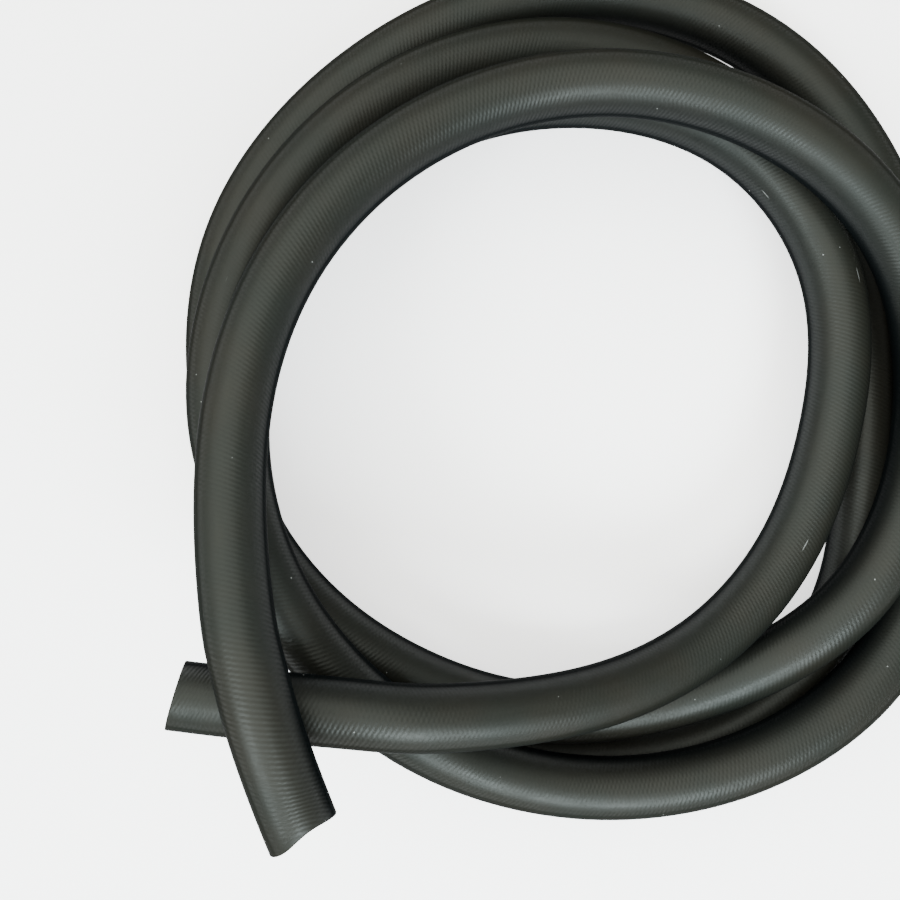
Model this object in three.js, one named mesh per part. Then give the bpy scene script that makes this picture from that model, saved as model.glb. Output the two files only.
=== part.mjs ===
// A loose coil of black rubber fuel hose: four turns lying over each other on the ground,
// with both cut ends left open at the front left. The bore runs through its whole length.
import * as THREE from "three";
import { NURBSCurve } from "three/addons/curves/NURBSCurve.js";

// Sizes in millimetres and degrees
const boreDiameter = 19;
const wallThickness = 3.75;
const cutSlant = 10.5;
const cutLean = 15;

// Detail of the swept surface
const outerSides = 12;
const boreSides = 10;
const stepsAlong = 170;

const hoseDiameter = boreDiameter + 2 * wallThickness;

// Route of the centreline. Angles are degrees round the coil from its right-hand side, seen from
// above, and radius and height are in hose diameters, so the coil keeps its shape when the hose
// gets thicker. The hose lies on the ground where the height is half a diameter.
const startOfRoute = [
  { angle: 212.7, radius: 7.09, height: 3.36 },
  { angle: 219, radius: 6.26, height: 3.46 },
  { angle: 234, radius: 5.1, height: 3.38 },
];
const firstTurnAngle = 240;
const pointsPerTurn = 12;
const turns = [
  {
    radius: [4.9, 4.32, 4.34, 4.46, 4.68, 5.62, 6.18, 6.12, 5.86, 5.6, 5.54, 5.46],
    height: [3.26, 2.46, 1.6, 1.14, 1.14, 1.3, 1.28, 1, 1.64, 2.08, 2.5, 2.64],
  },
  {
    radius: [5.66, 6.08, 6.58, 7.16, 6.64, 7.4, 8.34, 8.38, 7.68, 7.24, 6.24, 5.74],
    height: [2.2, 1.6, 1.56, 1.3, 0.48, 0.5, 0.54, 0.5, 0.5, 0.5, 0.5, 0.5],
  },
  {
    radius: [5.68, 5.96, 6.48, 6.26, 5.48, 6.34, 7.04, 7.22, 6.86, 6.48, 6.14, 5.46],
    height: [0.5, 0.5, 0.5, 0.5, 0.5, 0.5, 0.5, 0.78, 1.22, 1.36, 1.58, 1.54],
  },
  {
    radius: [4.96, 5.02, 5.2, 5.88, 6.26, 6.52, 6.04, 5.78, 5.44, 5.26, 5.24, 5.56],
    height: [1.34, 1, 0.92, 1.66, 1.46, 2.04, 2.48, 2.32, 2.6, 3.08, 3.54, 4.32],
  },
];
const endOfRoute = [
  { angle: 213, radius: 5.58, height: 4.34 },
  { angle: 222.5, radius: 6, height: 4.5 },
  { angle: 234.1, radius: 6.67, height: 4.38 },
];

const routePoint = ({ angle, radius, height }) =>
  new THREE.Vector3(
    radius * Math.cos(THREE.MathUtils.degToRad(angle)),
    radius * Math.sin(THREE.MathUtils.degToRad(angle)),
    height,
  ).multiplyScalar(hoseDiameter);

const circle = (diameter, sides) =>
  Array.from({ length: sides }, (_, i) => {
    const turn = (2 * Math.PI * i) / sides;
    return new THREE.Vector2(Math.cos(turn), Math.sin(turn)).multiplyScalar(diameter / 2);
  });

// The centreline: a smooth curve steered by the route points that starts and stops at the cut ends
const routePoints = [
  ...startOfRoute,
  ...turns.flatMap(({ radius, height }) =>
    radius.map((r, i) => ({
      angle: firstTurnAngle + (360 / pointsPerTurn) * i,
      radius: r,
      height: height[i],
    })),
  ),
  ...endOfRoute,
].map(routePoint);
const degree = 3;
const lastSpan = routePoints.length - degree;
const knots = Array.from({ length: routePoints.length + degree + 1 }, (_, i) =>
  THREE.MathUtils.clamp(i - degree, 0, lastSpan),
);
const centreline = new NURBSCurve(degree, knots, routePoints);
centreline.arcLengthDivisions = 10 * stepsAlong;

// The hose wall, swept along the centreline as a ring
const wall = new THREE.Shape(circle(hoseDiameter, outerSides));
wall.holes.push(new THREE.Path(circle(boreDiameter, boreSides).reverse()));
const hose = new THREE.ExtrudeGeometry(wall, {
  steps: stepsAlong,
  extrudePath: centreline,
  bevelEnabled: false,
});

// Both ends are cut askew: the outer side of the coil runs on past the inner side by the slant,
// and the underside past the top by the lean
const up = new THREE.Vector3(0, 0, 1);
const slope = (angle) => Math.tan(THREE.MathUtils.degToRad(angle));

function cutAskew(geometry, end, outward, outerSide) {
  const topSide = up.clone().projectOnPlane(outward).normalize();
  const position = geometry.getAttribute("position");
  const vertex = new THREE.Vector3();
  const offset = new THREE.Vector3();
  for (let i = 0; i < position.count; i += 1) {
    vertex.fromBufferAttribute(position, i);
    offset.subVectors(vertex, end);
    const onCut = offset.length() < 0.6 * hoseDiameter && Math.abs(offset.dot(outward)) < 0.1;
    if (onCut) {
      const longer = slope(cutSlant) * offset.dot(outerSide) - slope(cutLean) * offset.dot(topSide);
      vertex.addScaledVector(outward, longer);
      position.setXYZ(i, vertex.x, vertex.y, vertex.z);
    }
  }
}
const startOutward = centreline.getTangent(0).negate();
const endOutward = centreline.getTangent(1);
cutAskew(hose, centreline.getPoint(0), startOutward, startOutward.clone().cross(up).negate().normalize());
cutAskew(hose, centreline.getPoint(1), endOutward, endOutward.clone().cross(up).normalize());

// The origin is on the ground, under the middle of the coil
hose.computeBoundingBox();
const { min, max } = hose.boundingBox;
hose.translate(-(min.x + max.x) / 2, -(min.y + max.y) / 2, -min.z);
hose.computeVertexNormals();

const blackRubber = new THREE.MeshStandardMaterial({
  name: "hose_rubber",
  color: 0x34352f,
  roughness: 0.55,
  metalness: 0,
});
const fuelHose = new THREE.Mesh(hose, blackRubber);
fuelHose.name = "fuel_hose";

const part = new THREE.Group();
part.name = "fuel_hose_coil";
part.add(fuelHose);

export default part;
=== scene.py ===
import bpy
import math
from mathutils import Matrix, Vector


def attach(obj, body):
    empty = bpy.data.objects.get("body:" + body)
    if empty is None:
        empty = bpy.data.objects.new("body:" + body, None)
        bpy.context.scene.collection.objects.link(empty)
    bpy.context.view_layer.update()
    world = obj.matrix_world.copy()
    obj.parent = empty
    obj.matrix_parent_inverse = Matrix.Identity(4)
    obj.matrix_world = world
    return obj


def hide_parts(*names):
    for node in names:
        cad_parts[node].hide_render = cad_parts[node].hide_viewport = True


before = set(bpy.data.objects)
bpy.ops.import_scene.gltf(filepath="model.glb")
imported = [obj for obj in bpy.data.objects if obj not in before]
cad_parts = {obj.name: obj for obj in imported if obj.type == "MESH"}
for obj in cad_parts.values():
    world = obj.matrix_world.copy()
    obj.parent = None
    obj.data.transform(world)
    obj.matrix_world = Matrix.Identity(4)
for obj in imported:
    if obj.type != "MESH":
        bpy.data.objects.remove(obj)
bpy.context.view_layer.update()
print("frame loaded")

# sizes of the hose in metres and degrees
hoseSizes = {
    "boreDiameter": 0.019,
    "wall": 0.00375,
    "length": 3.98,
    "cutSlant": 10.5,
    "cutLean": 15,
    "cutReach": 0.024,  # how far from the end the cut's slant is spread
    "rimRadius": 0.0005,
    "rimWaviness": 0.001,  # of the front cut
    "rimSteps": 3,
    "ringSpacing": 0.006,
    "sidesAround": 40,
    "routeSteps": 1600,
}
hoseDiameter = hoseSizes["boreDiameter"] + 2 * hoseSizes["wall"]

# route of the centreline: degrees round the coil from its right, radius and height in hose diameters
coilRoute = {
    "middle": (-0.004655, -0.026976, -0.000086),  # middle of the turns, in metres
    "start": [(212.7, 7.09, 3.36), (219, 6.26, 3.46), (234, 5.1, 3.38)],
    "firstTurnAngle": 240,
    "radius": [
        [4.9, 4.32, 4.34, 4.46, 4.68, 5.62, 6.18, 6.12, 5.86, 5.6, 5.54, 5.46],
        [5.66, 6.08, 6.58, 7.16, 6.64, 7.4, 8.34, 8.38, 7.68, 7.24, 6.24, 5.74],
        [5.68, 5.96, 6.48, 6.26, 5.48, 6.34, 7.04, 7.22, 6.86, 6.48, 6.14, 5.46],
        [4.96, 5.02, 5.2, 5.88, 6.26, 6.52, 6.04, 5.78, 5.44, 5.26, 5.24, 5.56],
    ],
    "height": [
        [3.26, 2.46, 1.6, 1.14, 1.14, 1.3, 1.28, 1, 1.64, 2.08, 2.5, 2.64],
        [2.2, 1.6, 1.56, 1.3, 0.48, 0.5, 0.54, 0.5, 0.5, 0.5, 0.5, 0.5],
        [0.5, 0.5, 0.5, 0.5, 0.5, 0.5, 0.5, 0.78, 1.22, 1.36, 1.58, 1.54],
        [1.34, 1, 0.92, 1.66, 1.46, 2.04, 2.48, 2.32, 2.6, 3.08, 3.54, 4.32],
    ],
    "end": [(213, 5.58, 4.34), (222.5, 6, 4.5), (234.1, 6.67, 4.38)],
}

# camera straight above the coil, a little left of its middle
view = {
    "besideMiddle": (-1.95, -0.25),  # in hose diameters
    "height": 15.8,  # above the floor, in hose diameters
    "focalPixels": 851,
    "imagePixels": 900,
}


def routePoints():
    stations = list(coilRoute["start"])
    for radii, heights in zip(coilRoute["radius"], coilRoute["height"]):
        for hour, (radius, height) in enumerate(zip(radii, heights)):
            stations.append((coilRoute["firstTurnAngle"] + 30 * hour, radius, height))
    stations += coilRoute["end"]
    middle = Vector(coilRoute["middle"])
    points = []
    for angle, radius, height in stations:
        turned = math.radians(angle)
        offset = Vector((radius * math.cos(turned), radius * math.sin(turned), height))
        points.append(middle + offset * hoseDiameter)
    return points


def makeCamera():
    cameraData = bpy.data.cameras.new("overheadCamera")
    cameraData.sensor_width = 36
    cameraData.lens = 36 * view["focalPixels"] / view["imagePixels"]
    camera = bpy.data.objects.new("overheadCamera", cameraData)
    bpy.context.collection.objects.link(camera)
    beside = view["besideMiddle"]
    offset = Vector((beside[0], beside[1], view["height"]))
    camera.location = Vector(coilRoute["middle"]) + offset * hoseDiameter
    bpy.context.scene.camera = camera


makeCamera()
print("camera placed")


# short ways to add nodes to a tree
def addNode(tree, kind, values=None, **settings):
    node = tree.nodes.new(kind)
    for name, value in settings.items():
        setattr(node, name, value)
    for key, value in (values or {}).items():
        if isinstance(value, bpy.types.NodeSocket):
            tree.links.new(value, node.inputs[key])
        else:
            node.inputs[key].default_value = value
    return node


def calculate(tree, operation, *values, clamp=False):
    node = addNode(tree, "ShaderNodeMath", dict(enumerate(values)), operation=operation)
    node.use_clamp = clamp
    return node.outputs[0]


def onVectors(tree, operation, *values):
    node = addNode(tree, "ShaderNodeVectorMath", dict(enumerate(values)), operation=operation)
    return node.outputs["Value" if operation in ("DOT_PRODUCT", "LENGTH") else "Vector"]


def scaled(tree, vector, factor):
    node = addNode(tree, "ShaderNodeVectorMath", {0: vector, "Scale": factor}, operation="SCALE")
    return node.outputs["Vector"]


def ramp(tree, value, fromMin, fromMax, toMin, toMax, smooth=True):
    kind = "SMOOTHSTEP" if smooth else "LINEAR"
    values = {"Value": value, "From Min": fromMin, "From Max": fromMax, "To Min": toMin, "To Max": toMax}
    return addNode(tree, "ShaderNodeMapRange", values, interpolation_type=kind).outputs["Result"]


def makeRouteCurve(points):
    curveData = bpy.data.curves.new("hoseRoute", "CURVE")
    curveData.dimensions = "3D"
    curveData.resolution_u = 32
    spline = curveData.splines.new("NURBS")
    spline.points.add(len(points) - 1)
    for point, place in zip(spline.points, points):
        point.co = (*place, 1)
    spline.order_u = 4
    spline.use_endpoint_u = True
    route = bpy.data.objects.new("hoseRoute", curveData)
    bpy.context.collection.objects.link(route)
    return route


# a straight hose is revolved from its wall section, then bent along the route
def makeHoseTree():
    tree = bpy.data.node_groups.new("fuelHoseSweep", "GeometryNodeTree")
    tree.interface.new_socket("Geometry", in_out="INPUT", socket_type="NodeSocketGeometry")
    sizes = {
        "Bore Diameter": hoseSizes["boreDiameter"],
        "Wall": hoseSizes["wall"],
        "Rim Radius": hoseSizes["rimRadius"],
        "Rim Waviness": hoseSizes["rimWaviness"],
        "Ring Spacing": hoseSizes["ringSpacing"],
        "Cut Slant": math.tan(math.radians(hoseSizes["cutSlant"])),
        "Cut Lean": math.tan(math.radians(hoseSizes["cutLean"])),
        "Cut Reach": hoseSizes["cutReach"],
    }
    for name, value in sizes.items():
        socket = tree.interface.new_socket(name, in_out="INPUT", socket_type="NodeSocketFloat")
        socket.default_value = value
    socket = tree.interface.new_socket("Sides Around", in_out="INPUT", socket_type="NodeSocketInt")
    socket.default_value = hoseSizes["sidesAround"]
    tree.interface.new_socket("Material", in_out="INPUT", socket_type="NodeSocketMaterial")
    tree.interface.new_socket("Geometry", in_out="OUTPUT", socket_type="NodeSocketGeometry")
    given = tree.nodes.new("NodeGroupInput").outputs

    # the route as close, even points, and its length
    route = addNode(
        tree, "GeometryNodeResampleCurve",
        {"Curve": given["Geometry"], "Count": hoseSizes["routeSteps"]}, mode="COUNT",
    ).outputs[0]
    length = addNode(tree, "GeometryNodeCurveLength", {"Curve": route}).outputs["Length"]

    # wall section: a long rectangle from bore to skin with rounded corners, cut into rings
    rectangle = addNode(
        tree, "GeometryNodeCurvePrimitiveQuadrilateral", {"Width": given["Wall"], "Height": length}
    ).outputs[0]
    rounded = addNode(
        tree, "GeometryNodeFilletCurve",
        {"Curve": rectangle, "Count": hoseSizes["rimSteps"], "Radius": given["Rim Radius"]}, mode="POLY",
    ).outputs[0]
    here = addNode(tree, "GeometryNodeInputPosition").outputs[0]
    following = addNode(tree, "GeometryNodeOffsetPointInCurve", {"Offset": 1}).outputs["Point Index"]
    nextPlace = addNode(
        tree, "GeometryNodeFieldAtIndex", {"Index": following, "Value": here},
        data_type="FLOAT_VECTOR", domain="POINT",
    ).outputs[0]
    gap = onVectors(tree, "LENGTH", onVectors(tree, "SUBTRACT", nextPlace, here))
    cuts = calculate(tree, "FLOOR", calculate(tree, "DIVIDE", gap, given["Ring Spacing"]))
    section = addNode(tree, "GeometryNodeSubdivideCurve", {"Curve": rounded, "Cuts": cuts}).outputs[0]

    # revolved round the hose's axis
    halfBore = calculate(tree, "MULTIPLY", given["Bore Diameter"], 0.5)
    middleRadius = calculate(tree, "MULTIPLY_ADD", given["Wall"], 0.5, halfBore)
    around = addNode(
        tree, "GeometryNodeCurvePrimitiveCircle",
        {"Resolution": given["Sides Around"], "Radius": middleRadius},
    ).outputs[0]
    around = addNode(tree, "GeometryNodeSetCurveNormal", {"Curve": around}, mode="Z_UP").outputs[0]
    straight = addNode(
        tree, "GeometryNodeCurveToMesh", {"Curve": around, "Profile Curve": section}
    ).outputs[0]
    apart = addNode(tree, "ShaderNodeSeparateXYZ", {0: here}).outputs
    along = calculate(tree, "MULTIPLY_ADD", length, 0.5, apart["Z"])
    angle = calculate(tree, "ARCTAN2", apart["Y"], apart["X"])
    lay = addNode(
        tree, "ShaderNodeCombineXYZ",
        {"X": calculate(tree, "COSINE", angle), "Y": calculate(tree, "SINE", angle), "Z": along},
    ).outputs[0]
    marked = addNode(
        tree, "GeometryNodeStoreNamedAttribute", {"Geometry": straight, "Name": "hoseLay", "Value": lay},
        data_type="FLOAT_VECTOR", domain="POINT",
    ).outputs[0]
    fromAxis = onVectors(tree, "LENGTH", onVectors(tree, "MULTIPLY", here, (1, 1, 0)))
    marked = addNode(
        tree, "GeometryNodeStoreNamedAttribute", {"Geometry": marked, "Name": "fromAxis", "Value": fromAxis},
        data_type="FLOAT", domain="POINT",
    ).outputs[0]

    # bent along the route
    onRoute = addNode(
        tree, "GeometryNodeSampleCurve", {"Curves": route, "Length": along},
        mode="LENGTH", use_all_curves=True,
    ).outputs
    across = onVectors(tree, "CROSS_PRODUCT", onRoute["Tangent"], onRoute["Normal"])
    offset = scaled(tree, onRoute["Normal"], apart["X"])
    offset = onVectors(tree, "ADD", offset, scaled(tree, across, apart["Y"]))
    outer = onVectors(tree, "NORMALIZE", onVectors(tree, "CROSS_PRODUCT", onRoute["Tangent"], (0, 0, 1)))
    top = onVectors(tree, "CROSS_PRODUCT", outer, onRoute["Tangent"])
    # share of the way up the hose's side; the rubber uses it to paint its tops lighter, as painted light from
    # above
    topSide = calculate(tree, "DIVIDE", onVectors(tree, "DOT_PRODUCT", offset, top), fromAxis)
    marked = addNode(
        tree, "GeometryNodeStoreNamedAttribute", {"Geometry": marked, "Name": "topSide", "Value": topSide},
        data_type="FLOAT", domain="POINT",
    ).outputs[0]

    # both cuts are askew: the outer side of the coil and the underside run on past the rest
    longer = calculate(tree, "MULTIPLY", onVectors(tree, "DOT_PRODUCT", offset, outer), given["Cut Slant"])
    shorter = calculate(tree, "MULTIPLY", onVectors(tree, "DOT_PRODUCT", offset, top), given["Cut Lean"])
    longer = calculate(tree, "SUBTRACT", longer, shorter)
    atStart = ramp(tree, along, 0.0, given["Cut Reach"], 1.0, 0.0)
    fromEnd = calculate(tree, "SUBTRACT", length, along)
    atEnd = ramp(tree, fromEnd, 0.0, given["Cut Reach"], 1.0, 0.0)
    slide = calculate(tree, "MULTIPLY", longer, calculate(tree, "SUBTRACT", atEnd, atStart))
    acrossCut = calculate(tree, "DIVIDE", onVectors(tree, "DOT_PRODUCT", offset, outer), fromAxis)
    wave = calculate(tree, "SINE", calculate(tree, "MULTIPLY", acrossCut, math.pi))
    wave = calculate(tree, "MULTIPLY", calculate(tree, "MULTIPLY", wave, given["Rim Waviness"]), atEnd)
    slide = calculate(tree, "ADD", slide, wave)
    place = onVectors(tree, "ADD", onRoute["Position"], offset)
    place = onVectors(tree, "ADD", place, scaled(tree, onRoute["Tangent"], slide))
    bent = addNode(tree, "GeometryNodeSetPosition", {"Geometry": marked, "Position": place}).outputs[0]
    smooth = addNode(tree, "GeometryNodeSetShadeSmooth", {"Geometry": bent}).outputs[0]
    solid = addNode(tree, "GeometryNodeRealizeInstances", {"Geometry": smooth}).outputs[0]
    finished = addNode(
        tree, "GeometryNodeSetMaterial", {"Geometry": solid, "Material": given["Material"]}
    ).outputs[0]
    out = tree.nodes.new("NodeGroupOutput")
    tree.links.new(finished, out.inputs[0])
    return tree


def setInput(modifier, name, value):
    for item in modifier.node_group.interface.items_tree:
        if item.item_type == "SOCKET" and item.in_out == "INPUT" and item.name == name:
            modifier[item.identifier] = value


# how the rubber looks: colours are linear, sizes in metres
rubberLook = {
    "black": (0.0026, 0.0034, 0.0036, 1),
    # painted top light: the rubber is painted lighter on top, as if lit from above, in a tone that changes at
    # random from greenish to brownish
    "greenish": (0.0078, 0.009, 0.0073, 1),
    "brownish": (0.0098, 0.0095, 0.0073, 1),
    "sheen": (0.93, 1.0, 0.965, 1),
    "topLightStart": 0.1,  # share of the way up the hose's side
    "gloss": 0.19,
    "edgeGloss": 0.001,
    "glossFade": (0.05, 0.6),  # from facing the eye towards edge on
    "roughness": 0.46,
    "roughnessChange": 0.14,
    "braidLines": 18,  # strands in each direction
    "braidPitch": 0.034,  # length of one turn of a braid strand
    "braidDepth": 0.00006,
    "crossStrands": 0.35,  # how much the crossing strands show
    "leastBraid": 0.25,  # how much of the braid shows in the smoothest patches
    "patchScale": 14.0,
    "cloudScale": 22.0,
    "streakScale": 420.0,
    "streakSqueeze": 0.12,  # along the hose
    "grainScale": 900.0,
    "grainHeight": 0.25,  # against the braid's
    "bumpStrength": 0.5,
    "dustSpacing": 0.011,
    "dustRadius": 0.00034,
    "scuffSpacing": 0.009,
    "scuffStretch": 12,
    "scuffRadius": 0.0003,
    "scuffStrength": 0.6,
    "dustColour": (0.16, 0.17, 0.165, 1),
}


def noise(tree, place, scale, detail=2.0, low=0.3, high=0.7):
    values = {"Vector": place, "Scale": scale, "Detail": detail, "Roughness": 0.55}
    texture = addNode(tree, "ShaderNodeTexNoise", values)
    return ramp(tree, texture.outputs[0], low, high, 0.0, 1.0)


def specks(tree, place, spacing, radius):
    # small dots round the middle of random cells, where the skin passes through one
    cells = addNode(tree, "ShaderNodeTexVoronoi", {"Vector": place, "Scale": 1 / spacing})
    return ramp(tree, cells.outputs["Distance"], radius / spacing, 0.6 * radius / spacing, 0.0, 1.0)


def makeRubber():
    rubber = bpy.data.materials.new("blackHoseRubber")
    rubber.use_nodes = True
    tree = rubber.node_tree
    tree.nodes.clear()
    place = addNode(tree, "ShaderNodeTexCoord").outputs["Object"]
    lay = addNode(tree, "ShaderNodeAttribute", attribute_name="hoseLay").outputs["Vector"]
    fromAxis = addNode(tree, "ShaderNodeAttribute", attribute_name="fromAxis").outputs["Fac"]
    skin = ramp(tree, fromAxis, hoseDiameter / 2 - 0.0008, hoseDiameter / 2 - 0.0004, 0.0, 1.0)
    parts = addNode(tree, "ShaderNodeSeparateXYZ", {0: lay}).outputs
    angle = calculate(tree, "ARCTAN2", parts["Y"], parts["X"])

    # textile braid that shows faintly through the skin, more in some places than in others
    turns = calculate(tree, "MULTIPLY", angle, float(rubberLook["braidLines"]))
    advance = 2 * math.pi * rubberLook["braidLines"] / rubberLook["braidPitch"]
    onward = calculate(tree, "MULTIPLY", parts["Z"], advance)
    oneWay = calculate(tree, "SINE", calculate(tree, "ADD", turns, onward))
    otherWay = calculate(tree, "SINE", calculate(tree, "SUBTRACT", turns, onward))
    braid = calculate(tree, "MULTIPLY_ADD", otherWay, rubberLook["crossStrands"], oneWay)
    patches = noise(tree, place, rubberLook["patchScale"], 2.0, 0.35, 0.65)
    least = rubberLook["leastBraid"]
    showing = calculate(tree, "MULTIPLY_ADD", patches, 1 - least, least)
    showing = calculate(tree, "MULTIPLY", showing, skin)
    braid = calculate(tree, "MULTIPLY", braid, showing)

    # grain, and streaks drawn out along the hose
    half = hoseDiameter / 2
    spread = onVectors(tree, "MULTIPLY", lay, (half, half, rubberLook["streakSqueeze"]))
    streaks = noise(tree, spread, rubberLook["streakScale"], 3.0)
    grain = noise(tree, place, rubberLook["grainScale"], 3.0, 0.2, 0.8)
    clouds = noise(tree, place, rubberLook["cloudScale"], 3.0)

    # dust and short scuffs
    longways = (half, half, 1 / rubberLook["scuffStretch"])
    scuffs = specks(
        tree, onVectors(tree, "MULTIPLY", lay, longways), rubberLook["scuffSpacing"], rubberLook["scuffRadius"]
    )
    dust = specks(tree, place, rubberLook["dustSpacing"], rubberLook["dustRadius"])
    scuffs = calculate(tree, "MULTIPLY", scuffs, rubberLook["scuffStrength"])
    marks = calculate(tree, "MAXIMUM", dust, scuffs)
    marks = calculate(tree, "MULTIPLY", marks, skin)

    # black rubber painted lighter towards the top, as if lit from above (painted light), strongest on top
    litTopColour = addNode(
        tree, "ShaderNodeMix",
        {"Factor": clouds, 6: rubberLook["greenish"], 7: rubberLook["brownish"]}, data_type="RGBA",
    ).outputs[2]
    topSide = addNode(tree, "ShaderNodeAttribute", attribute_name="topSide").outputs["Fac"]
    # mask of the painted top light, from the given share up the side to the very top
    paintedTopLight = ramp(tree, topSide, rubberLook["topLightStart"], 1.0, 0.0, 1.0)
    toneWithPaintedLight = addNode(
        tree, "ShaderNodeMix", {"Factor": paintedTopLight, 6: rubberLook["black"], 7: litTopColour}, data_type="RGBA",
    ).outputs[2]
    colour = addNode(
        tree, "ShaderNodeMix", {"Factor": marks, 6: toneWithPaintedLight, 7: rubberLook["dustColour"]}, data_type="RGBA",
    ).outputs[2]
    uneven = calculate(tree, "MULTIPLY_ADD", streaks, 0.5, calculate(tree, "MULTIPLY", grain, 0.5))
    roughness = calculate(
        tree, "MULTIPLY_ADD", uneven, rubberLook["roughnessChange"],
        rubberLook["roughness"] - rubberLook["roughnessChange"] / 2,
    )
    facing = addNode(tree, "ShaderNodeLayerWeight", {"Blend": 0.5}).outputs["Facing"]
    gloss = ramp(tree, facing, *rubberLook["glossFade"], rubberLook["gloss"], rubberLook["edgeGloss"])
    shader = addNode(
        tree, "ShaderNodeBsdfPrincipled",
        {
            "Base Color": colour, "Roughness": roughness,
            "Specular IOR Level": gloss, "Specular Tint": rubberLook["sheen"],
        },
    )
    height = calculate(tree, "MULTIPLY_ADD", grain, rubberLook["grainHeight"], braid)
    bump = addNode(
        tree, "ShaderNodeBump",
        {
            "Strength": rubberLook["bumpStrength"], "Distance": rubberLook["braidDepth"],
            "Height": height,
        },
    )
    tree.links.new(bump.outputs[0], shader.inputs["Normal"])
    addNode(tree, "ShaderNodeOutputMaterial", {"Surface": shader.outputs[0]})
    return rubber


def makeHose():
    points = routePoints()
    route = makeRouteCurve(points)
    sweep = route.modifiers.new("fuelHoseSweep", "NODES")
    sweep.node_group = makeHoseTree()
    setInput(sweep, "Material", makeRubber())
    dependencies = bpy.context.evaluated_depsgraph_get()
    evaluated = route.evaluated_get(dependencies)
    mesh = bpy.data.meshes.new_from_object(evaluated, depsgraph=dependencies)
    hose = bpy.data.objects.new("fuelHose", mesh)
    bpy.context.collection.objects.link(hose)
    bpy.data.objects.remove(route)
    mesh.name = "fuelHose"
    print("hose swept:", len(mesh.polygons), "faces")
    return hose, points


def followedLine(points, steps=16):
    # the same smooth curve as the sweep's, for measuring the hose's length
    line = []
    count = len(points)
    knots = [min(max(i - 3, 0), count - 3) for i in range(count + 4)]
    for span in range(3, count):
        for step in range(steps):
            u = knots[span] + (knots[span + 1] - knots[span]) * step / steps
            work = [points[span - 3 + i].copy() for i in range(4)]
            for level in range(1, 4):
                for i in range(3, level - 1, -1):
                    low = knots[span - 3 + i]
                    high = knots[span + 1 + i - level]
                    part = (u - low) / (high - low)
                    work[i] = work[i - 1] * (1 - part) + work[i] * part
            line.append(work[3])
    line.append(points[-1].copy())
    return line


hose, points = makeHose()
line = followedLine(points)
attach(hose, "root")
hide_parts("fuel_hose")
print("hose declared, length", round(sum((b - a).length for a, b in zip(line, line[1:])), 4))


# pale floor and soft studio light
studio = {
    "floorSize": 6.0,
    "floorColour": (0.95, 0.95, 0.95, 1),
    "floorRoughness": 0.9,
    "floorGlow": 1.5,
    "skyColour": (1.0, 1.0, 0.93, 1),
    "skyStrength": 0.6,
    "frontLight": {
        "place": (0.34, -1.04, 0.95),
        "size": 0.7, "power": 46, "colour": (0.88, 0.96, 1.0),
    },
    "sideLight": {
        "place": (-0.8, -0.75, 1.1),
        "size": 0.6, "power": 24, "colour": (0.88, 0.96, 1.0),
    },
    "softBox": {
        "place": (-0.6, 0.4, 1.75),
        "size": 3.4, "power": 110, "colour": (1.0, 0.99, 0.92),
    },
}


def makeFloor():
    side = studio["floorSize"] / 2
    corners = [(-side, -side, 0), (side, -side, 0), (side, side, 0), (-side, side, 0)]
    mesh = bpy.data.meshes.new("studioFloor")
    mesh.from_pydata(corners, [], [(0, 1, 2, 3)])
    floor = bpy.data.objects.new("studioFloor", mesh)
    bpy.context.collection.objects.link(floor)
    paper = bpy.data.materials.new("palePaper")
    paper.use_nodes = True
    shader = paper.node_tree.nodes["Principled BSDF"]
    shader.inputs["Base Color"].default_value = studio["floorColour"]
    shader.inputs["Roughness"].default_value = studio["floorRoughness"]
    shader.inputs["Emission Color"].default_value = (1, 1, 1, 1)
    shader.inputs["Emission Strength"].default_value = studio["floorGlow"]
    mesh.materials.append(paper)


def makeSoftLight(name, settings):
    lightData = bpy.data.lights.new(name, "AREA")
    lightData.shape = "DISK"
    lightData.size = settings["size"]
    lightData.energy = settings["power"]
    lightData.color = settings["colour"]
    light = bpy.data.objects.new(name, lightData)
    bpy.context.collection.objects.link(light)
    light.location = settings["place"]
    light.rotation_euler = (-Vector(settings["place"])).to_track_quat("-Z", "Y").to_euler()


def makeSky():
    world = bpy.data.worlds.new("studioSky")
    world.use_nodes = True
    background = world.node_tree.nodes["Background"]
    background.inputs["Color"].default_value = studio["skyColour"]
    background.inputs["Strength"].default_value = studio["skyStrength"]
    bpy.context.scene.world = world


makeFloor()
makeSoftLight("frontLight", studio["frontLight"])
makeSoftLight("sideLight", studio["sideLight"])
makeSoftLight("softBox", studio["softBox"])
makeSky()
print("studio ready")
